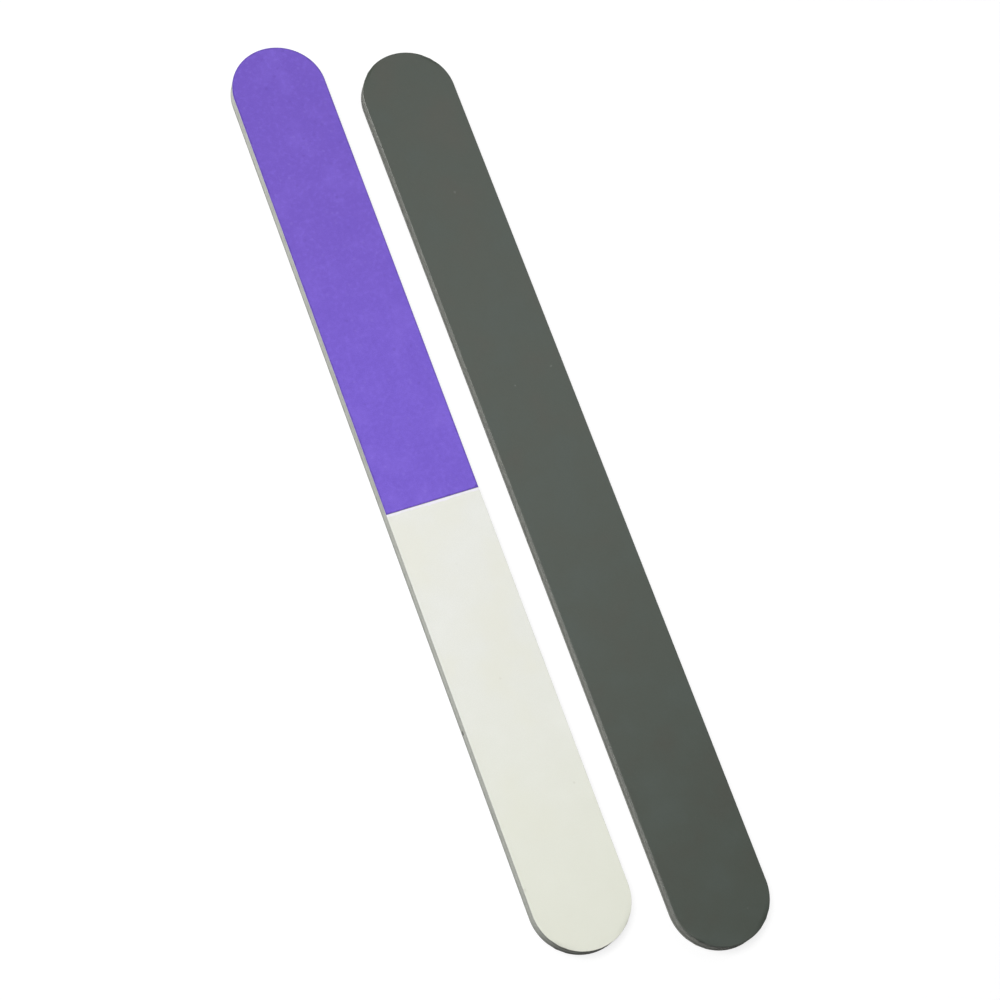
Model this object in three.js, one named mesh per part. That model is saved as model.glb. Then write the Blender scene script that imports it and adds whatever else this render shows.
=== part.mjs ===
// A pair of three-way nail files: two alike laminated boards lying side by side, the left one with
// its purple and white face up and the right one turned over, with its grey face up.
// Millimetres, +Z up. The files run along Y, with the purple end at +Y. The origin is the middle of
// the pair, on the surface that both files lie on.

import * as THREE from "three";

// Driving dimensions, in millimetres
const FILE_LENGTH = 180;
const FILE_WIDTH = 18;
const CORE_THICKNESS = 0.8;
const FOAM_THICKNESS = 0.65;
const TAPE_THICKNESS = 0.1;
const COLOUR_SHEET_THICKNESS = 0.3;
const GREY_SHEET_THICKNESS = 0.3;

// Seam between the purple and white sheets: its place on the centre line, measured from the purple
// end, the clear gap of the butt joint, and how far the cut is out of square
const PURPLE_LENGTH = 95;
const SEAM_GAP = 0.1;
const SEAM_SKEW_DEGREES = 1;

// How the two files lie: the clear space between their long edges, and how far the left one lies
// ahead of the right one
const SPACE_BETWEEN_FILES = 5.8;
const STAGGER = 7.1;

// Flat facets round each end
const END_FACETS = 24;

// Places worked out from the driving dimensions
const END_RADIUS = FILE_WIDTH / 2;
const END_CENTRE_Y = FILE_LENGTH / 2 - END_RADIUS;
const SEAM_Y = FILE_LENGTH / 2 - PURPLE_LENGTH;
const SEAM_RISE = END_RADIUS * Math.tan(THREE.MathUtils.degToRad(SEAM_SKEW_DEGREES));
const HALF_PITCH = (FILE_WIDTH + SPACE_BETWEEN_FILES) / 2;

const FINISHES = {
  purple_grit: { color: 0x7c63ce, roughness: 0.9, metalness: 0 },
  white_grit: { color: 0xe5e6dc, roughness: 0.75, metalness: 0 },
  grey_shine: { color: 0x585d56, roughness: 0.55, metalness: 0 },
  foam: { color: 0xb4b4ab, roughness: 0.95, metalness: 0 },
  core: { color: 0xcfcfc6, roughness: 0.5, metalness: 0 },
  tape: { color: 0xc2beaa, roughness: 0.35, metalness: 0 },
};

// The whole board's outline: straight long edges with a full round at each end.
function boardOutline() {
  const outline = new THREE.Shape();
  outline.absarc(0, END_CENTRE_Y, END_RADIUS, 0, Math.PI, false);
  outline.absarc(0, -END_CENTRE_Y, END_RADIUS, Math.PI, 2 * Math.PI, false);
  outline.closePath();
  return outline;
}

// The purple sheet's outline: the +Y end of the board, cut off at the seam. The seam climbs towards
// +X on a file seen purple side up, and towards -X on one that is turned over.
function purpleOutline(turn) {
  const edge = SEAM_Y + SEAM_GAP / 2;
  const outline = new THREE.Shape();
  outline.moveTo(-END_RADIUS, edge - turn * SEAM_RISE);
  outline.lineTo(END_RADIUS, edge + turn * SEAM_RISE);
  outline.absarc(0, END_CENTRE_Y, END_RADIUS, 0, Math.PI, false);
  outline.closePath();
  return outline;
}

// The white sheet's outline: the -Y end of the board, cut off at the other side of the seam.
function whiteOutline(turn) {
  const edge = SEAM_Y - SEAM_GAP / 2;
  const outline = new THREE.Shape();
  outline.moveTo(END_RADIUS, edge + turn * SEAM_RISE);
  outline.lineTo(-END_RADIUS, edge - turn * SEAM_RISE);
  outline.absarc(0, -END_CENTRE_Y, END_RADIUS, Math.PI, 2 * Math.PI, false);
  outline.closePath();
  return outline;
}

// One file's layers, from its grey face to its purple and white face. Pieces of one layer lie side
// by side.
const LAYERS = [
  {
    thickness: GREY_SHEET_THICKNESS,
    pieces: [{ name: "grey_shine_sheet", outline: boardOutline, finish: FINISHES.grey_shine }],
  },
  {
    thickness: TAPE_THICKNESS,
    pieces: [{ name: "grey_sheet_tape", outline: boardOutline, finish: FINISHES.tape }],
  },
  {
    thickness: FOAM_THICKNESS,
    pieces: [{ name: "grey_side_foam", outline: boardOutline, finish: FINISHES.foam }],
  },
  {
    thickness: TAPE_THICKNESS,
    pieces: [{ name: "grey_side_core_tape", outline: boardOutline, finish: FINISHES.tape }],
  },
  {
    thickness: CORE_THICKNESS,
    pieces: [{ name: "core_board", outline: boardOutline, finish: FINISHES.core }],
  },
  {
    thickness: TAPE_THICKNESS,
    pieces: [{ name: "colour_side_core_tape", outline: boardOutline, finish: FINISHES.tape }],
  },
  {
    thickness: FOAM_THICKNESS,
    pieces: [{ name: "colour_side_foam", outline: boardOutline, finish: FINISHES.foam }],
  },
  {
    thickness: TAPE_THICKNESS,
    pieces: [
      { name: "purple_sheet_tape", outline: purpleOutline, finish: FINISHES.tape },
      { name: "white_sheet_tape", outline: whiteOutline, finish: FINISHES.tape },
    ],
  },
  {
    thickness: COLOUR_SHEET_THICKNESS,
    pieces: [
      { name: "purple_file_sheet", outline: purpleOutline, finish: FINISHES.purple_grit },
      { name: "white_buff_sheet", outline: whiteOutline, finish: FINISHES.white_grit },
    ],
  },
];

// One flat die-cut piece, lying on its local XY plane.
function flatPiece(name, outline, thickness, finish) {
  const geometry = new THREE.ExtrudeGeometry(outline, {
    depth: thickness,
    bevelEnabled: false,
    curveSegments: END_FACETS / 2,
  });
  const piece = new THREE.Mesh(geometry, new THREE.MeshStandardMaterial(finish));
  piece.name = name;
  return piece;
}

// One file lying on its local XY plane, its layers stacked face to face. turn is 1 with the purple
// and white face up, and -1 with the file turned over about its long axis.
function nailFile(name, turn) {
  const file = new THREE.Group();
  const stack = turn > 0 ? LAYERS : [...LAYERS].reverse();
  let height = 0;
  for (const { thickness, pieces } of stack) {
    for (const { name: pieceName, outline, finish } of pieces) {
      const piece = flatPiece(`${name}_${pieceName}`, outline(turn), thickness, finish);
      piece.position.z = height;
      file.add(piece);
    }
    height += thickness;
  }
  return file;
}

const leftFile = nailFile("left_file", 1);
leftFile.position.set(-HALF_PITCH, STAGGER / 2, 0);

const rightFile = nailFile("right_file", -1);
rightFile.position.set(HALF_PITCH, -STAGGER / 2, 0);

const pair = new THREE.Group();
pair.add(leftFile, rightFile);

export default pair;
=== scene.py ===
import math

import bmesh
import bpy
from mathutils import Matrix, Vector


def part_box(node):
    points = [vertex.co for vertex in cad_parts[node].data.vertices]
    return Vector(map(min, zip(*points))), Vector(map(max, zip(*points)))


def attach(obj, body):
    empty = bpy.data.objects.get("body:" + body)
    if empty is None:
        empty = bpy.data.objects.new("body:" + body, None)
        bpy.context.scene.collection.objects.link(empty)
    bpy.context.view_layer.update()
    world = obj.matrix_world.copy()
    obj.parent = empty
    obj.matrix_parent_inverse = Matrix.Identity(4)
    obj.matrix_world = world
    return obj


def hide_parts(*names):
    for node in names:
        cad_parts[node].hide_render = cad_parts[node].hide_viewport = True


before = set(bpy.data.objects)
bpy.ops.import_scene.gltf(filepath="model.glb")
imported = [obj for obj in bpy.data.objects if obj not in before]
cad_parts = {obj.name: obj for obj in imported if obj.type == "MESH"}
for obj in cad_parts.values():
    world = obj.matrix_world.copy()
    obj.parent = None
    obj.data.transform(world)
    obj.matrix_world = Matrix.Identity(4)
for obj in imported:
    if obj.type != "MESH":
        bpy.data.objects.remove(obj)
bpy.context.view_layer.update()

# Looks of a pair of three-way nail files: two alike laminated boards, the left one with its purple
# and white face up, the right one turned over with its grey face up. Metres, +Z up, files along Y.

MM = 0.001
SIDES = ("left", "right")

# Board outline and seam, from the solids. The seam's place is measured from the file's middle.
core_low, core_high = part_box("left_file_core_board")
HALF_WIDTH = (core_high.x - core_low.x) / 2
HALF_LENGTH = (core_high.y - core_low.y) / 2
STRAIGHT = HALF_LENGTH - HALF_WIDTH
FILE_CENTRE_Y = (core_high.y + core_low.y) / 2
purple_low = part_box("left_file_purple_file_sheet")[0]
white_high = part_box("left_file_white_buff_sheet")[1]
SEAM = (purple_low.y + white_high.y) / 2 - FILE_CENTRE_Y

# How far the seam's cut is out of square, and the butt joint that shows along it
SEAM_SKEW = math.tan(math.radians(1))
SEAM_GAP = 0.03 * MM

# Rim of a coated sheet, in spacings of its grid: how deep its lines are drawn together, and how many
# spacings the rolled edge takes. The power sets how fast the lines close up.
RIM_DEPTH = 3.5
ROLL_SPACINGS = 2
RIM_CLOSING = 1.5

# Slope of a rolled rim past which the coat is cut off and bare stock shows
COAT_SLOPE = math.radians(50)

# Face of a coated sheet: the length of its slow waves, and how far a grain strays from its place in
# the grid, in spacings of the grid
WAVE_LENGTH = 9 * MM
GRAIN_STRAY = 0.35

# Points round each corner of an inner layer's outline
CORNER_POINTS = 64

# Points closer than this are one point, and an edge that turns more than this stays sharp
WELD_DISTANCE = 0.001 * MM
SHARP_ANGLE = math.radians(50)

# The nick in the left file's long wall, in millimetres of the part's frame
NICK_PLACE = (-20.9, -43.3, 1.0)
NICK_RADIUS = 0.7

# Width in millimetres of the streaks that the die leaves in a coated sheet's wall
SHEET_STREAK = 0.25

# Table: its tone for the light that it throws back, how far it is lifted to white near the files,
# where that part ends and full white starts, its gap under the files, its flat part and upward sweep
TABLE_TONE = 0.24
TABLE_LIFT = 0.8
NEAR_RADIUS = 0.1
WHITE_RADIUS = 0.5
TABLE_CLEARANCE = 0.02 * MM
FLAT_RADIUS = 2.0
SWEEP_RADIUS = 1.0
SWEEP_STEPS = 8
SWEEP_SIDES = 64

# Even light of the room
ROOM_LIGHT = 0.06

# Square lamps: place, side length and watts
LAMPS = {
    "low_left": ((-0.49, 0.38, 0.035), 0.07, 2.95),
    "low_right": ((0.5, 0.12, 0.05), 0.1, 0.8),
    "overhead": ((-0.125, -0.008, 0.38), 0.2, 1.28),
    "back_right": ((0.22, 0.24, 0.5), 0.36, 0.7),
}

# Camera: aim point on the table, direction and turn of the frame in degrees, and lens in millimetres
CAMERA_AIM = Vector((0.956, -3.871, 0)) * MM
CAMERA_AZIMUTH = -46.74
CAMERA_ELEVATION = 67.01
CAMERA_ROLL = 28.34
CAMERA_DISTANCE = 475.8 * MM
CAMERA_LENS = 94.2
CAMERA_SENSOR = 36
CAMERA_NEAR = 0.01
CAMERA_FAR = 20


# Node building

def feed(tree, socket, value):
    """Links a socket or a Number into this input, or sets it to a plain value."""
    if isinstance(value, Number):
        value = value.socket
    if isinstance(value, bpy.types.NodeSocket):
        tree.links.new(value, socket)
    else:
        socket.default_value = value


def add(tree, kind, inputs=None, **settings):
    """Adds a node with these settings and feeds its inputs, given by name or by their place."""
    node = tree.nodes.new(kind)
    for name, value in settings.items():
        setattr(node, name, value)
    for key, value in (inputs or {}).items():
        feed(tree, node.inputs[key], value)
    return node


class Number:
    """A number that varies over a node tree. Sums with it become Math nodes of that tree."""

    def __init__(self, tree, socket):
        self.tree = tree
        self.socket = socket

    def math(self, operation, *values):
        node = add(self.tree, "ShaderNodeMath", dict(enumerate(values)), operation=operation)
        return Number(self.tree, node.outputs[0])

    def __add__(self, other):
        return self.math("ADD", self, other)

    def __radd__(self, other):
        return self.math("ADD", other, self)

    def __sub__(self, other):
        return self.math("SUBTRACT", self, other)

    def __rsub__(self, other):
        return self.math("SUBTRACT", other, self)

    def __mul__(self, other):
        return self.math("MULTIPLY", self, other)

    def __rmul__(self, other):
        return self.math("MULTIPLY", other, self)

    def __truediv__(self, other):
        return self.math("DIVIDE", self, other)

    def __rtruediv__(self, other):
        return self.math("DIVIDE", other, self)

    def __pow__(self, other):
        return self.math("POWER", self, other)

    def __abs__(self):
        return self.math("ABSOLUTE", self)

    def sqrt(self):
        return self.math("SQRT", self)

    def sign(self):
        return self.math("SIGN", self)

    def round(self):
        return self.math("ROUND", self)

    def at_least(self, other):
        return self.math("MAXIMUM", self, other)

    def at_most(self, other):
        return self.math("MINIMUM", self, other)

    def below(self, other):
        return self.math("LESS_THAN", self, other)

    def ramp(self, start, end):
        """0 up to start and 1 from end on, with a smooth step between them."""
        node = add(
            self.tree,
            "ShaderNodeMapRange",
            {"Value": self, "From Min": start, "From Max": end},
            interpolation_type="SMOOTHSTEP",
        )
        return Number(self.tree, node.outputs["Result"])


SOCKETS = {
    "number": "NodeSocketFloat",
    "count": "NodeSocketInt",
    "vector": "NodeSocketVector",
    "colour": "NodeSocketColor",
    "material": "NodeSocketMaterial",
    "mesh": "NodeSocketGeometry",
}


def new_tree(name, kind, inputs, outputs):
    """A node tree with these named inputs and outputs: the tree, what it is given and its result."""
    tree = bpy.data.node_groups.new(name, kind)
    for direction, sockets in (("INPUT", inputs), ("OUTPUT", outputs)):
        for socket_name, socket_kind in sockets.items():
            tree.interface.new_socket(
                socket_name, in_out=direction, socket_type=SOCKETS[socket_kind]
            )
    given = tree.nodes.new("NodeGroupInput").outputs
    result = tree.nodes.new("NodeGroupOutput").inputs
    return tree, given, result


def numbers(tree, given, *names):
    """The named sizes that a tree is given, ready for sums."""
    return [Number(tree, given[name]) for name in names]


def combine(tree, x, y, z):
    """A vector of three numbers."""
    return add(tree, "ShaderNodeCombineXYZ", {"X": x, "Y": y, "Z": z}).outputs[0]


def split(tree, vector):
    """The three numbers of a vector."""
    node = add(tree, "ShaderNodeSeparateXYZ", {"Vector": vector})
    return [Number(tree, socket) for socket in node.outputs]


# Geometry Nodes: the flat die-cut pieces

OUTLINE_INPUTS = {
    "Half Width": "number",
    "Straight": "number",
    "Low End": "number",
    "High End": "number",
    "Seam": "number",
    "Seam Skew": "number",
    "Thickness": "number",
    "Spacing": "number",
    "Seed": "count",
    "Turn": "vector",
    "Place": "vector",
    "Material": "material",
}
SHEET_INPUTS = {
    **OUTLINE_INPUTS,
    "Rim Roll": "number",
    "Grit Height": "number",
    "Wave Height": "number",
}
LAYER_INPUTS = {
    **OUTLINE_INPUTS,
    "Round Low": "number",
    "Round High": "number",
    "Wall Rows": "count",
    "Setback": "number",
    "Hollow": "number",
    "Pit Depth": "number",
    "Pit Size": "number",
}


def finish_tree(tree, given, result, mesh):
    """Ends a tree: the piece is turned, put in its place and given its material."""
    moved = add(
        tree,
        "GeometryNodeTransform",
        {"Geometry": mesh, "Translation": given["Place"], "Rotation": given["Turn"]},
    )
    real = add(tree, "GeometryNodeRealizeInstances", {"Geometry": moved.outputs[0]})
    smooth = add(tree, "GeometryNodeSetShadeSmooth", {"Geometry": real.outputs[0]})
    painted = add(
        tree,
        "GeometryNodeSetMaterial",
        {"Geometry": smooth.outputs[0], "Material": given["Material"]},
    )
    feed(tree, result["Mesh"], painted.outputs[0])


def store(tree, mesh, name, value, domain="POINT", selection=True):
    """Keeps a number on the mesh under a name, for its material."""
    node = add(
        tree,
        "GeometryNodeStoreNamedAttribute",
        {"Geometry": mesh, "Name": name, "Value": value, "Selection": selection},
        data_type="FLOAT",
        domain=domain,
    )
    return node.outputs[0]


def open_edges(tree):
    """Selects the edges with a face on one side only."""
    faces = add(tree, "GeometryNodeInputMeshEdgeNeighbors").outputs[0]
    one_face = add(
        tree, "FunctionNodeCompare", {2: faces, 3: 1}, data_type="INT", operation="EQUAL"
    )
    return one_face.outputs[0]


def cap(tree, mesh, selection):
    """One flat face inside the selected loop of edges, at height 0 and facing up."""
    loop = add(tree, "GeometryNodeMeshToCurve", {"Mesh": mesh, "Selection": selection})
    face = add(tree, "GeometryNodeFillCurve", {"Curve": loop.outputs[0]}, mode="NGONS")
    return face.outputs[0]


def weld(tree, *meshes):
    """Joins meshes whose edges meet into one closed skin."""
    joined = add(tree, "GeometryNodeJoinGeometry")
    for mesh in meshes:
        tree.links.new(mesh, joined.inputs[0])
    welded = add(
        tree,
        "GeometryNodeMergeByDistance",
        {"Geometry": joined.outputs[0], "Distance": WELD_DISTANCE},
    )
    return welded.outputs[0]


def coated_sheet_tree():
    """A coated sheet on its back: a gritty face, an edge rolled over by the die, and a cut wall."""
    tree, given, result = new_tree("coated sheet", "GeometryNodeTree", SHEET_INPUTS, {"Mesh": "mesh"})
    half_width, straight, thickness, spacing = numbers(
        tree, given, "Half Width", "Straight", "Thickness", "Spacing"
    )
    low, high, seam, skew = numbers(tree, given, "Low End", "High End", "Seam", "Seam Skew")
    roll, grit, wave = numbers(tree, given, "Rim Roll", "Grit Height", "Wave Height")

    # A flat grid, as long and wide as the sheet
    half_span = (high - low) / 2
    columns = (2 * half_width / spacing).round()
    rows = (2 * half_span / spacing).round()
    grid = add(
        tree,
        "GeometryNodeMeshGrid",
        {
            "Size X": 2 * half_width,
            "Size Y": 2 * half_span,
            "Vertices X": columns + 1,
            "Vertices Y": rows + 1,
        },
    ).outputs["Mesh"]
    x, y, _ = split(tree, add(tree, "GeometryNodeInputPosition").outputs[0])

    # Its outer lines are drawn to the rim: three carry the rolled edge, and one keeps the face flat
    def draw_to_rim(place, half, lines):
        inset = (half - abs(place)).at_least(0)
        lines_in = inset * lines / (2 * half)
        at_rim = lines_in.below(RIM_DEPTH)
        drawn = roll * (lines_in / ROLL_SPACINGS) ** RIM_CLOSING
        return place.sign() * (half - at_rim * drawn - (1 - at_rim) * inset)

    x = draw_to_rim(x, half_width, columns)
    y = draw_to_rim(y, half_span, rows) + (low + high) / 2

    # Past the straight edges the grid's square ends are bent into half rounds
    past = ((abs(y) - straight) / half_width).at_least(0)
    across = x / half_width
    bent_x = x * (1 - past * past / 2).sqrt()
    reach = half_width * past * (1 - across * across / 2).sqrt()
    bent_y = y.sign() * (abs(y).at_most(straight) + reach)

    # Distance in from the die-cut rim and the slit seam
    end_y = (abs(bent_y) - straight).at_least(0)
    from_round = half_width - (bent_x * bent_x + end_y * end_y).sqrt()
    rim = from_round.at_most(bent_y - low).at_most(high - bent_y).at_least(0)

    # The seam runs a little out of square
    near_seam = (1 - abs(bent_y - seam) / straight).at_least(0)
    skewed_y = bent_y + skew * bent_x * near_seam

    # Height: the rolled rim, slow waves over the soft foam, and grains
    inside = (roll - rim).at_least(0)
    drop = roll - (roll * roll - inside * inside).at_least(0).sqrt()
    clear = rim.ramp(roll, roll + 2 * spacing)
    noise = add(
        tree,
        "ShaderNodeTexNoise",
        {
            "Vector": combine(tree, bent_x, bent_y, 0),
            "W": given["Seed"],
            "Scale": 1 / WAVE_LENGTH,
            "Detail": 1.0,
        },
        noise_dimensions="4D",
    )
    swell = Number(tree, noise.outputs["Fac"])
    random = add(
        tree,
        "FunctionNodeRandomValue",
        {0: (-1, -1, 0), 1: (1, 1, 1), "Seed": given["Seed"]},
        data_type="FLOAT_VECTOR",
    )
    shift_x, shift_y, depth = split(tree, random.outputs[0])
    stray = GRAIN_STRAY * spacing * clear
    height = thickness - drop - clear * (grit * depth + wave * swell)
    place = combine(tree, bent_x + stray * shift_x, skewed_y + stray * shift_y, height)

    # What the material reads: distances from the rim and the seam, taken before the points move
    marked = store(tree, grid, "rim_mm", rim / MM)
    marked = store(tree, marked, "seam_mm", abs(bent_y - seam) / MM)
    shaped = add(tree, "GeometryNodeSetPosition", {"Geometry": marked, "Position": place}).outputs[0]

    # The coat ends where the rolled rim turns down to the wall
    facing_up = split(tree, add(tree, "GeometryNodeInputNormal").outputs[0])[2]
    coat = 1 - facing_up.below(math.cos(COAT_SLOPE))
    face = store(tree, shaped, "coat", coat, domain="FACE")

    # The wall goes straight down from the rim to the flat back
    wall = add(
        tree,
        "GeometryNodeExtrudeMesh",
        {
            "Mesh": face,
            "Selection": open_edges(tree),
            "Offset": combine(tree, 0.0, 0.0, roll - thickness),
        },
        mode="EDGES",
    ).outputs
    walled = store(tree, wall["Mesh"], "coat", 0.0, domain="FACE", selection=wall["Side"])
    back = add(tree, "GeometryNodeFlipFaces", {"Mesh": cap(tree, walled, wall["Top"])})
    finish_tree(tree, given, result, weld(tree, walled, back.outputs[0]))
    return tree


def inner_layer_tree():
    """An inner layer, of which the die-cut wall shows: a little hollow, pitted where cells were cut."""
    tree, given, result = new_tree("inner layer", "GeometryNodeTree", LAYER_INPUTS, {"Mesh": "mesh"})
    half_width, thickness, spacing = numbers(tree, given, "Half Width", "Thickness", "Spacing")
    low, high, skew = numbers(tree, given, "Low End", "High End", "Seam Skew")
    round_low, round_high = numbers(tree, given, "Round Low", "Round High")
    setback, hollow, pit, pit_size = numbers(
        tree, given, "Setback", "Hollow", "Pit Depth", "Pit Size"
    )

    # The outline, anticlockwise from the low end's right corner
    rise = skew * half_width
    low_rise = rise * (1 - round_low)
    high_rise = rise * (1 - round_high)
    corners = add(
        tree,
        "GeometryNodeCurvePrimitiveQuadrilateral",
        {
            "Point 1": combine(tree, half_width, low + low_rise, 0.0),
            "Point 2": combine(tree, half_width, high + high_rise, 0.0),
            "Point 3": combine(tree, -1 * half_width, high - high_rise, 0.0),
            "Point 4": combine(tree, -1 * half_width, low - low_rise, 0.0),
        },
        mode="POINTS",
    )
    corner = Number(tree, add(tree, "GeometryNodeInputIndex").outputs[0])
    at_high_end = abs(corner - 1.5).below(1)
    rounding = at_high_end * round_high + (1 - at_high_end) * round_low
    outline = add(
        tree,
        "GeometryNodeFilletCurve",
        {
            "Curve": corners.outputs[0],
            "Count": CORNER_POINTS,
            "Radius": rounding * half_width,
            "Limit Radius": True,
        },
        mode="POLY",
    ).outputs[0]
    length = Number(tree, add(tree, "GeometryNodeCurveLength", {"Curve": outline}).outputs[0])

    # The wall is a grid wrapped once round the outline
    grid = add(
        tree,
        "GeometryNodeMeshGrid",
        {
            "Size X": 1.0,
            "Size Y": 1.0,
            "Vertices X": (length / spacing).round() + 1,
            "Vertices Y": given["Wall Rows"],
        },
    ).outputs["Mesh"]
    u, v, _ = split(tree, add(tree, "GeometryNodeInputPosition").outputs[0])
    along = u + 0.5
    up = v + 0.5
    point = add(
        tree, "GeometryNodeSampleCurve", {"Curves": outline, "Factor": along}, mode="FACTOR"
    )
    point_x, point_y, _ = split(tree, point.outputs["Position"])
    tangent_x, tangent_y, _ = split(tree, point.outputs["Tangent"])

    # It is set back, deepest half way up, with a pit in the middle of each cell
    cell_place = combine(tree, point_x / pit_size, point_y / pit_size, up * thickness / pit_size)
    cell = add(
        tree,
        "ShaderNodeTexVoronoi",
        {"Vector": cell_place, "W": given["Seed"], "Scale": 1.0},
        voronoi_dimensions="4D",
    )
    cut_cell = 1 - Number(tree, cell.outputs["Distance"]).ramp(0.1, 0.75)
    inset = setback + 4 * hollow * up * (1 - up) + pit * cut_cell
    place = combine(
        tree, point_x - tangent_y * inset, point_y + tangent_x * inset, up * thickness
    )
    wall = add(tree, "GeometryNodeSetPosition", {"Geometry": grid, "Position": place})
    wall = weld(tree, wall.outputs[0])

    # Flat faces close it above and below
    z = split(tree, add(tree, "GeometryNodeInputPosition").outputs[0])[2]
    low_edges, high_edges = [
        add(tree, "FunctionNodeBooleanMath", {0: open_edges(tree), 1: there}, operation="AND")
        for there in (z.below(thickness / 2), (thickness / 2 - z).below(0.0))
    ]
    under = add(tree, "GeometryNodeFlipFaces", {"Mesh": cap(tree, wall, low_edges.outputs[0])})
    over = add(
        tree,
        "GeometryNodeTransform",
        {
            "Geometry": cap(tree, wall, high_edges.outputs[0]),
            "Translation": combine(tree, 0.0, 0.0, thickness),
        },
    )
    finish_tree(tree, given, result, weld(tree, wall, under.outputs[0], over.outputs[0]))
    return tree


def grow(name, tree, values):
    """Runs a Geometry Nodes tree with these input values and keeps the result as a plain mesh piece."""
    host = bpy.data.objects.new(name + "_host", bpy.data.meshes.new(name + "_host"))
    bpy.context.scene.collection.objects.link(host)
    modifier = host.modifiers.new("shape", "NODES")
    modifier.node_group = tree
    for item in tree.interface.items_tree:
        if item.in_out == "INPUT" and item.name in values:
            modifier[item.identifier] = values[item.name]
    depsgraph = bpy.context.evaluated_depsgraph_get()
    mesh = bpy.data.meshes.new_from_object(
        host.evaluated_get(depsgraph), preserve_all_data_layers=True, depsgraph=depsgraph
    )
    host.modifiers.remove(modifier)
    bpy.data.objects.remove(host)
    mesh.name = name
    mesh.set_sharp_from_angle(angle=SHARP_ANGLE)
    piece = bpy.data.objects.new(name, mesh)
    bpy.context.scene.collection.objects.link(piece)
    return piece


# Effects that the materials share. Their sizes are in millimetres.

def paint(red, green, blue):
    """A colour as seen on a screen, 0 to 255, as the linear colour that a shader takes."""
    seen = [channel / 255 for channel in (red, green, blue)]
    linear = [c / 12.92 if c <= 0.04045 else ((c + 0.055) / 1.055) ** 2.4 for c in seen]
    return (*linear, 1.0)


def tint(tree, amount, first, second):
    """The first colour, turned towards the second by this amount."""
    mix = add(tree, "ShaderNodeMix", {0: amount, 6: first, 7: second}, data_type="RGBA")
    return mix.outputs[2]


def place_mm(tree):
    """The spot that is being coloured, in millimetres of the part's own frame."""
    spot = add(tree, "ShaderNodeTexCoord").outputs["Object"]
    scaled = add(tree, "ShaderNodeVectorMath", {0: spot, "Scale": 1 / MM}, operation="SCALE")
    return scaled.outputs[0]


def read(tree, name):
    """A number that the mesh carries."""
    return Number(tree, add(tree, "ShaderNodeAttribute", attribute_name=name).outputs["Fac"])


def cells(tree, size):
    """Random cells of about this size: the distance from a cell's middle, and two lots it has drawn."""
    node = add(tree, "ShaderNodeTexVoronoi", {"Vector": place_mm(tree), "Scale": 1 / size})
    lots = add(tree, "ShaderNodeSeparateColor", {"Color": node.outputs["Color"]}).outputs
    return Number(tree, node.outputs["Distance"]), Number(tree, lots[0]), Number(tree, lots[1])


def cloud(tree, place, size, detail):
    """A smooth random number, around a half, that changes over about this size."""
    node = add(
        tree, "ShaderNodeTexNoise", {"Vector": place, "Scale": 1 / size, "Detail": detail}
    )
    return Number(tree, node.outputs["Fac"])


def effect(name, inputs, outputs):
    """A new group of shader nodes: its tree, what it is given, and its result."""
    return new_tree(name, "ShaderNodeTree", inputs, outputs)


def grain_group():
    """Grains of a coat, or cells of a foam: each has its own height and tone, with hollows between."""
    inputs = {
        "Size": "number",
        "Coat": "colour",
        "Tip": "colour",
        "Hollow": "colour",
        "Contrast": "number",
    }
    tree, given, result = effect("grain", inputs, {"Colour": "colour", "Height": "number"})
    size, contrast = numbers(tree, given, "Size", "Contrast")
    from_middle, tall, pale = cells(tree, size)
    dome = 1 - from_middle.ramp(0.1, 0.7)
    colour = tint(tree, contrast * (1 - dome), given["Coat"], given["Hollow"])
    feed(tree, result["Colour"], tint(tree, contrast * dome * pale, colour, given["Tip"]))
    feed(tree, result["Height"], dome * (0.4 + 0.6 * tall))
    return tree


def mottle_group():
    """Slow drifts of tone over a surface, towards a lighter colour here and a darker one there."""
    inputs = {
        "Colour": "colour",
        "Light": "colour",
        "Dark": "colour",
        "Size": "number",
        "Amount": "number",
    }
    tree, given, result = effect("mottle", inputs, {"Colour": "colour", "Drift": "number"})
    size, amount = numbers(tree, given, "Size", "Amount")
    drift = cloud(tree, place_mm(tree), size, 3.0)
    colour = tint(tree, amount * drift.ramp(0.48, 0.72), given["Colour"], given["Light"])
    darker = amount * (1 - drift.ramp(0.28, 0.52))
    feed(tree, result["Colour"], tint(tree, darker, colour, given["Dark"]))
    feed(tree, result["Drift"], drift)
    return tree


def fleck_group():
    """Scattered flecks: in some cells of this spacing, a spot that fills a share of the cell."""
    inputs = {"Spacing": "number", "Fill": "number", "Share": "number"}
    tree, given, result = effect("flecks", inputs, {"Mask": "number"})
    spacing, fill, share = numbers(tree, given, *inputs)
    from_middle, chosen, strength = cells(tree, spacing)
    edge = cloud(tree, place_mm(tree), spacing / 3, 2.0) - 0.5
    spot = 1 - (from_middle + 0.3 * edge).ramp(fill / 2, fill)
    feed(tree, result["Mask"], spot * chosen.below(share) * (0.4 + 0.6 * strength))
    return tree


def rim_group():
    """A ragged band along an edge of a sheet that lies this far away, where painted shade darkens the
    rims and a painted highlight lightens the seam.
    """
    inputs = {"Distance": "number", "Width": "number"}
    tree, given, result = effect("painted edge band", inputs, {"Mask": "number"})
    distance, width = numbers(tree, given, *inputs)
    ragged = cloud(tree, place_mm(tree), 4 * width, 3.0) - 0.5
    band = distance / width + 1.6 * ragged
    feed(tree, result["Mask"], 1 - band.ramp(0.4, 1.0))
    return tree


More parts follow.
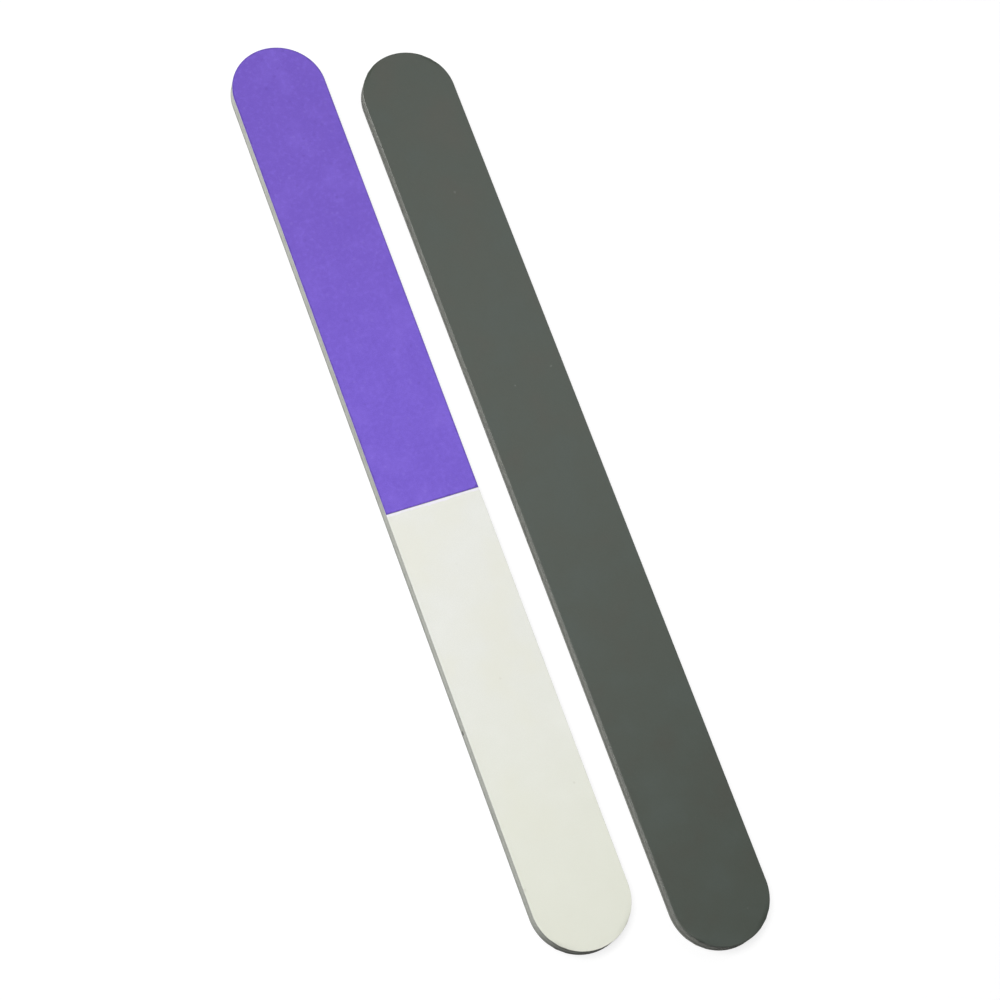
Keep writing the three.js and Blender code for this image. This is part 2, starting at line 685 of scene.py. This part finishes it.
def die_cut_group():
    """A wall that the die has cut: fine streaks from top to bottom, and a soft drift of tone."""
    inputs = {"Stock": "colour", "Streak": "colour", "Width": "number"}
    tree, given, result = effect("die cut", inputs, {"Colour": "colour", "Height": "number"})
    width = Number(tree, given["Width"])
    x, y, z = split(tree, place_mm(tree))
    streak = cloud(tree, combine(tree, x, y, 0.1 * z), width, 3.0)
    drift = cloud(tree, combine(tree, x, y, z), 20 * width, 2.0)
    amount = 0.6 * streak.ramp(0.35, 0.75) + 0.4 * drift.ramp(0.3, 0.7)
    feed(tree, result["Colour"], tint(tree, amount, given["Stock"], given["Streak"]))
    feed(tree, result["Height"], 1 - streak)
    return tree


def nick_group():
    """A small nick with a ragged edge, about one spot of the part."""
    inputs = {"Middle": "vector", "Radius": "number"}
    tree, given, result = effect("nick", inputs, {"Mask": "number"})
    radius = Number(tree, given["Radius"])
    offset = add(
        tree,
        "ShaderNodeVectorMath",
        {0: place_mm(tree), 1: given["Middle"]},
        operation="SUBTRACT",
    )
    x, y, z = split(tree, offset.outputs[0])
    away = (x * x + y * y + 2 * z * z).sqrt() / radius
    ragged = cloud(tree, place_mm(tree), radius, 3.0) - 0.5
    feed(tree, result["Mask"], 1 - (away + ragged).ramp(0.5, 1.0))
    return tree


grain = grain_group()
mottle = mottle_group()
flecks = fleck_group()
painted_edge_band = rim_group()
die_cut = die_cut_group()
nick = nick_group()


# Materials

def start_material(name):
    """A material with a plain shader in it, and its node tree."""
    material = bpy.data.materials.new(name)
    material.use_nodes = True
    return material, material.node_tree


def use(tree, group, inputs):
    """Places an effect in a material with its own values."""
    return add(tree, "ShaderNodeGroup", inputs, node_tree=group).outputs


def mask(tree, group, inputs):
    """Where an effect shows, from 0 to 1."""
    return Number(tree, use(tree, group, inputs)["Mask"])


def dress(material, colour, height, roughness, depth_mm, specular):
    """Feeds a material's shader with its colour, relief, roughness and level of gloss."""
    tree = material.node_tree
    shader = tree.nodes["Principled BSDF"]
    bump = add(tree, "ShaderNodeBump", {"Height": height, "Distance": depth_mm * MM})
    feed(tree, shader.inputs["Base Color"], colour)
    feed(tree, shader.inputs["Roughness"], roughness)
    feed(tree, shader.inputs["Normal"], bump.outputs[0])
    shader.inputs["Specular IOR Level"].default_value = specular
    return material


def on_stock(tree, colour, height, stock, streak):
    """A sheet's coat on its face, and the bare cut stock on its wall."""
    coat = read(tree, "coat")
    wall = use(tree, die_cut, {"Stock": stock, "Streak": streak, "Width": SHEET_STREAK})
    colour = tint(tree, coat, wall["Colour"], colour)
    return colour, coat * height + (1 - coat) * Number(tree, wall["Height"])


def nicked_with_shade(tree, colour):
    """The left file's wall with its one small nick, darkened with painted shade: the colour, and how
    deep the nick goes here.
    """
    dent_and_shade = mask(tree, nick, {"Middle": NICK_PLACE, "Radius": NICK_RADIUS})
    # Painted shade: the dent is darkened where shade falls in it
    return tint(tree, dent_and_shade, colour, paint(72, 71, 66)), dent_and_shade


def purple_grit():
    """A coarse purple coat: matt grains, drifts of tone, pale and dark flecks, painted shade on its far
    end and along its rim.
    """
    material, tree = start_material("purple_grit")
    grains = use(
        tree,
        grain,
        {
            "Size": 0.13,
            "Coat": paint(125, 99, 213),
            "Tip": paint(136, 111, 221),
            "Hollow": paint(115, 89, 202),
            "Contrast": 0.6,
        },
    )
    # Painted shade: the coat turns darker towards its far end from the seam, where less light falls
    far_end_shade_and_tint = read(tree, "seam_mm").ramp(20.0, 65.0)
    colour = tint(tree, 0.6 * far_end_shade_and_tint, grains["Colour"], paint(118, 90, 194))
    for size, amount in ((0.8, 0.3), (5.0, 0.25)):
        drifts = use(
            tree,
            mottle,
            {
                "Colour": colour,
                "Light": paint(138, 112, 223),
                "Dark": paint(115, 89, 199),
                "Size": size,
                "Amount": amount,
            },
        )
        colour = drifts["Colour"]
    pale = mask(tree, flecks, {"Spacing": 0.9, "Fill": 0.4, "Share": 0.12})
    colour = tint(tree, 0.12 * pale, colour, paint(170, 152, 232))
    dark = mask(tree, flecks, {"Spacing": 1.1, "Fill": 0.38, "Share": 0.1})
    colour = tint(tree, 0.2 * dark, colour, paint(84, 60, 160))
    # Painted shade: a ragged darker band along the rolled rim and the seam
    rim = mask(tree, painted_edge_band, {"Distance": read(tree, "rim_mm"), "Width": 0.32})
    colour = tint(tree, 0.6 * rim, colour, paint(84, 62, 158))
    height = Number(tree, grains["Height"])
    colour, height = on_stock(
        tree, colour, height, stock=paint(176, 176, 174), streak=paint(158, 157, 158)
    )
    roughness = 0.95 - 0.1 * height
    return dress(material, colour, height, roughness, depth_mm=0.03, specular=0.3)


def white_grit():
    """A fine white coat: even and matt, warmer and with painted shade to its far end, a painted
    lavender-white highlight along the seam.
    """
    material, tree = start_material("white_grit")
    grains = use(
        tree,
        grain,
        {
            "Size": 0.08,
            "Coat": paint(236, 237, 231),
            "Tip": paint(242, 243, 238),
            "Hollow": paint(226, 227, 219),
            "Contrast": 0.6,
        },
    )
    drifts = use(
        tree,
        mottle,
        {
            "Colour": grains["Colour"],
            "Light": paint(240, 241, 237),
            "Dark": paint(231, 231, 218),
            "Size": 14.0,
            "Amount": 0.6,
        },
    )
    from_seam = read(tree, "seam_mm")
    # Warmer towards the far end from the seam; the slight darkening that comes with it is painted shade
    far_end_shade_and_tint = from_seam.ramp(15.0, 85.0)
    colour = tint(tree, 0.7 * far_end_shade_and_tint, drifts["Colour"], paint(232, 234, 217))
    dust = mask(tree, flecks, {"Spacing": 3.0, "Fill": 0.12, "Share": 0.15})
    colour = tint(tree, 0.25 * dust, colour, paint(186, 184, 168))
    # Painted highlight: a lighter, lavender-white band along the seam edge
    seam_highlight = mask(tree, painted_edge_band, {"Distance": from_seam, "Width": 0.7})
    colour = tint(tree, 0.8 * seam_highlight, colour, paint(243, 239, 252))
    # Painted shade: a faint darker band along the rolled rim
    rim = mask(tree, painted_edge_band, {"Distance": read(tree, "rim_mm"), "Width": 0.2})
    colour = tint(tree, 0.15 * rim, colour, paint(214, 214, 206))
    height = Number(tree, grains["Height"])
    colour, height = on_stock(
        tree, colour, height, stock=paint(178, 180, 174), streak=paint(161, 162, 156)
    )
    roughness = 0.82 - 0.12 * height
    return dress(material, colour, height, roughness, depth_mm=0.012, specular=0.4)


def grey_shine():
    """A satin grey polishing film: faint green and brown drifts, a soft orange peel, a little dust."""
    material, tree = start_material("grey_shine")
    drifts = use(
        tree,
        mottle,
        {
            "Colour": paint(74, 81, 73),
            "Light": paint(76, 85, 79),
            "Dark": paint(76, 77, 69),
            "Size": 9.0,
            "Amount": 0.8,
        },
    )
    grains = use(
        tree,
        grain,
        {
            "Size": 0.06,
            "Coat": drifts["Colour"],
            "Tip": paint(82, 89, 81),
            "Hollow": paint(67, 73, 66),
            "Contrast": 0.5,
        },
    )
    dust = mask(tree, flecks, {"Spacing": 2.6, "Fill": 0.1, "Share": 0.12})
    colour = tint(tree, 0.2 * dust, grains["Colour"], paint(150, 156, 146))
    # Painted shade: a darker band along the rolled rim
    rim = mask(tree, painted_edge_band, {"Distance": read(tree, "rim_mm"), "Width": 0.2})
    colour = tint(tree, 0.4 * rim, colour, paint(58, 61, 56))
    peel = cloud(tree, place_mm(tree), 0.5, 2.0)
    height = 0.25 * Number(tree, grains["Height"]) + peel
    colour, height = on_stock(
        tree, colour, height, stock=paint(130, 133, 127), streak=paint(114, 117, 111)
    )
    roughness = 0.3 + 0.15 * Number(tree, drifts["Drift"])
    return dress(material, colour, height, roughness, depth_mm=0.01, specular=0.4)


def foam():
    """A cut wall of closed-cell foam: matt, with the open halves of small cells."""
    material, tree = start_material("foam")
    cut_cells = use(
        tree,
        grain,
        {
            "Size": 0.22,
            "Coat": paint(170, 172, 165),
            "Tip": paint(156, 158, 151),
            "Hollow": paint(182, 184, 177),
            "Contrast": 0.8,
        },
    )
    drifts = use(
        tree,
        mottle,
        {
            "Colour": cut_cells["Colour"],
            "Light": paint(180, 182, 176),
            "Dark": paint(148, 150, 143),
            "Size": 3.0,
            "Amount": 0.5,
        },
    )
    colour, dent_and_shade = nicked_with_shade(tree, drifts["Colour"])
    height = 1 - Number(tree, cut_cells["Height"]) - 2 * dent_and_shade
    return dress(material, colour, height, roughness=0.95, depth_mm=0.05, specular=0.2)


def core():
    """The cut wall of the stiff plastic board: off-white, streaked by the die."""
    material, tree = start_material("core")
    wall = use(
        tree,
        die_cut,
        {"Stock": paint(186, 188, 181), "Streak": paint(165, 167, 160), "Width": 0.2},
    )
    colour, dent_and_shade = nicked_with_shade(tree, wall["Colour"])
    height = Number(tree, wall["Height"]) - dent_and_shade
    roughness = 0.42 + 0.2 * height
    return dress(material, colour, height, roughness, depth_mm=0.012, specular=0.5)


def tape():
    """The cut edge of double-sided tape: pale straw adhesive that has caught some dust."""
    material, tree = start_material("tape")
    wall = use(
        tree,
        die_cut,
        {"Stock": paint(166, 167, 154), "Streak": paint(144, 145, 132), "Width": 0.4},
    )
    dust = mask(tree, flecks, {"Spacing": 0.5, "Fill": 0.4, "Share": 0.3})
    colour = tint(tree, 0.6 * dust, wall["Colour"], paint(117, 118, 111))
    colour, dent_and_shade = nicked_with_shade(tree, colour)
    height = Number(tree, wall["Height"]) - dent_and_shade
    roughness = 0.35 + 0.3 * dust
    return dress(material, colour, height, roughness, depth_mm=0.01, specular=0.5)


FINISHES = (purple_grit, white_grit, grey_shine, foam, core, tape)
materials = {make.__name__: make() for make in FINISHES}


# Pieces

sheet_tree = coated_sheet_tree()
layer_tree = inner_layer_tree()

# The part of the outline that a piece fills
WHOLE = {
    "Low End": -HALF_LENGTH,
    "High End": HALF_LENGTH,
    "Round Low": 1.0,
    "Round High": 1.0,
    "Seam Skew": 0.0,
}
PURPLE_PART = {
    "Low End": SEAM + SEAM_GAP / 2,
    "High End": HALF_LENGTH,
    "Round Low": 0.0,
    "Round High": 1.0,
    "Seam Skew": SEAM_SKEW,
}
WHITE_PART = {
    "Low End": -HALF_LENGTH,
    "High End": SEAM - SEAM_GAP / 2,
    "Round Low": 1.0,
    "Round High": 0.0,
    "Seam Skew": SEAM_SKEW,
}

# How the faces of the sheets and the walls of the layers are made
COARSE_GRIT = {
    "Spacing": 0.2 * MM,
    "Rim Roll": 0.08 * MM,
    "Grit Height": 0.02 * MM,
    "Wave Height": 0.02 * MM,
}
FINE_GRIT = {
    "Spacing": 0.5 * MM,
    "Rim Roll": 0.08 * MM,
    "Grit Height": 0.0,
    "Wave Height": 0.02 * MM,
}
SMOOTH_FILM = {
    "Spacing": 0.5 * MM,
    "Rim Roll": 0.1 * MM,
    "Grit Height": 0.0,
    "Wave Height": 0.02 * MM,
}
FOAM_WALL = {
    "Spacing": 0.12 * MM,
    "Wall Rows": 7,
    "Setback": 0.02 * MM,
    "Hollow": 0.04 * MM,
    "Pit Depth": 0.06 * MM,
    "Pit Size": 0.3 * MM,
}
CORE_WALL = {
    "Spacing": 0.25 * MM,
    "Wall Rows": 5,
    "Setback": 0.0,
    "Hollow": 0.01 * MM,
    "Pit Depth": 0.01 * MM,
    "Pit Size": 0.6 * MM,
}
TAPE_WALL = {
    "Spacing": 0.5 * MM,
    "Wall Rows": 2,
    "Setback": 0.03 * MM,
    "Hollow": 0.0,
    "Pit Depth": 0.03 * MM,
    "Pit Size": 1.5 * MM,
}

# Each piece of a file: its finish, the part of the outline that it fills, how it is made, and whether
# its face looks the same way as the purple and white face
PIECES = {
    "grey_shine_sheet": ("grey_shine", WHOLE, sheet_tree, SMOOTH_FILM, False),
    "grey_sheet_tape": ("tape", WHOLE, layer_tree, TAPE_WALL, True),
    "grey_side_foam": ("foam", WHOLE, layer_tree, FOAM_WALL, True),
    "grey_side_core_tape": ("tape", WHOLE, layer_tree, TAPE_WALL, True),
    "core_board": ("core", WHOLE, layer_tree, CORE_WALL, True),
    "colour_side_core_tape": ("tape", WHOLE, layer_tree, TAPE_WALL, True),
    "colour_side_foam": ("foam", WHOLE, layer_tree, FOAM_WALL, True),
    "purple_sheet_tape": ("tape", PURPLE_PART, layer_tree, TAPE_WALL, True),
    "white_sheet_tape": ("tape", WHITE_PART, layer_tree, TAPE_WALL, True),
    "purple_file_sheet": ("purple_grit", PURPLE_PART, sheet_tree, COARSE_GRIT, True),
    "white_buff_sheet": ("white_grit", WHITE_PART, sheet_tree, FINE_GRIT, True),
}


def make_file(side, turned_over):
    """Makes one file's pieces, each in the place of its solid."""
    board_low, board_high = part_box(f"{side}_file_core_board")
    centre = (board_low + board_high) / 2
    for number, (piece_name, make) in enumerate(PIECES.items()):
        finish, part, tree, surface, colour_side = make
        node = f"{side}_file_{piece_name}"
        low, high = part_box(node)
        face_down = turned_over == colour_side
        values = {
            "Half Width": HALF_WIDTH,
            "Straight": STRAIGHT,
            "Seam": SEAM,
            "Thickness": high.z - low.z,
            "Seed": number + 100 * SIDES.index(side),
            "Turn": (0.0, math.pi if face_down else 0.0, 0.0),
            "Place": (centre.x, centre.y, high.z if face_down else low.z),
            "Material": materials[finish],
            **part,
            **surface,
        }
        piece = grow(f"{node}_finished", tree, values)
        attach(piece, f"{side}_file")
        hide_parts(node)
        finish == "foam"


make_file("left", turned_over=False)
make_file("right", turned_over=True)


# Stage

def white_table():
    """A matt sweep, lifted to white for the eye, but less near the files, so that their shadows stay.

    In reflections only its far part is lifted, so the walls mirror no more light than it gives.
    """
    material, tree = start_material("white_table")
    x, y, _ = split(tree, add(tree, "ShaderNodeTexCoord").outputs["Object"])
    far = (x * x + y * y).sqrt().ramp(NEAR_RADIUS, WHITE_RADIUS)
    ray = add(tree, "ShaderNodeLightPath").outputs
    seen = Number(tree, ray["Is Camera Ray"]).at_least(ray["Is Transmission Ray"])
    lift = seen * (TABLE_LIFT + far * (1 - TABLE_LIFT))
    mirrored = far * Number(tree, ray["Is Glossy Ray"])
    shader = tree.nodes["Principled BSDF"]
    shader.inputs["Base Color"].default_value = (TABLE_TONE, TABLE_TONE, TABLE_TONE, 1.0)
    shader.inputs["Roughness"].default_value = 0.9
    shader.inputs["Emission Color"].default_value = (1.0, 1.0, 1.0, 1.0)
    feed(tree, shader.inputs["Emission Strength"], lift.at_least(mirrored))
    return material


def make_floor():
    """A round table top that curves up into a low backdrop all the way round."""
    rings = [(FLAT_RADIUS, 0.0)]
    for step in range(1, SWEEP_STEPS + 1):
        angle = math.pi / 2 * step / SWEEP_STEPS
        radius = FLAT_RADIUS + SWEEP_RADIUS * math.sin(angle)
        rings.append((radius, SWEEP_RADIUS * (1 - math.cos(angle))))
    turns = [2 * math.pi * n / SWEEP_SIDES for n in range(SWEEP_SIDES)]
    shape = bmesh.new()
    loops = []
    for radius, height in rings:
        points = [(radius * math.cos(turn), radius * math.sin(turn), height) for turn in turns]
        loops.append([shape.verts.new(point) for point in points])
    shape.faces.new(loops[0])
    for inner, outer in zip(loops, loops[1:]):
        for n in range(SWEEP_SIDES):
            shape.faces.new((inner[n - 1], outer[n - 1], outer[n], inner[n]))
    mesh = bpy.data.meshes.new("floor")
    shape.to_mesh(mesh)
    shape.free()
    mesh.shade_smooth()
    mesh.materials.append(white_table())
    floor = bpy.data.objects.new("floor", mesh)
    bpy.context.scene.collection.objects.link(floor)
    floor.location.z = -TABLE_CLEARANCE


def make_lamp(name, place, side, watts):
    """A soft square lamp that faces the middle of the pair."""
    light = bpy.data.lights.new(name, "AREA")
    light.size = side
    light.energy = watts
    lamp = bpy.data.objects.new(name, light)
    bpy.context.scene.collection.objects.link(lamp)
    lamp.location = place
    lamp.rotation_euler = (-lamp.location).to_track_quat("-Z", "Y").to_euler()


def make_room():
    """A white room that gives a little light from all round."""
    world = bpy.data.worlds.new("studio")
    bpy.context.scene.world = world
    world.use_nodes = True
    background = world.node_tree.nodes["Background"]
    background.inputs["Color"].default_value = (1.0, 1.0, 1.0, 1.0)
    background.inputs["Strength"].default_value = ROOM_LIGHT


def make_camera():
    """The camera, over the low end on the left file's side, with its frame turned."""
    azimuth = math.radians(CAMERA_AZIMUTH)
    elevation = math.radians(CAMERA_ELEVATION)
    back_x = math.sin(azimuth) * math.cos(elevation)
    back_y = -math.cos(azimuth) * math.cos(elevation)
    back = Vector((back_x, back_y, math.sin(elevation)))
    camera = bpy.data.objects.new("camera", bpy.data.cameras.new("camera"))
    bpy.context.scene.collection.objects.link(camera)
    camera.data.lens = CAMERA_LENS
    camera.data.sensor_width = CAMERA_SENSOR
    camera.data.clip_start = CAMERA_NEAR
    camera.data.clip_end = CAMERA_FAR
    upright = (-back).to_track_quat("-Z", "Y").to_matrix()
    roll = Matrix.Rotation(math.radians(CAMERA_ROLL), 3, "Z")
    place = Matrix.Translation(CAMERA_AIM + back * CAMERA_DISTANCE)
    camera.matrix_world = place @ (upright @ roll).to_4x4()
    bpy.context.scene.camera = camera


make_floor()
for lamp_name, (lamp_place, lamp_side, lamp_watts) in LAMPS.items():
    make_lamp(lamp_name, lamp_place, lamp_side, lamp_watts)
make_room()
make_camera()
bpy.context.scene.view_settings.view_transform = "Standard"
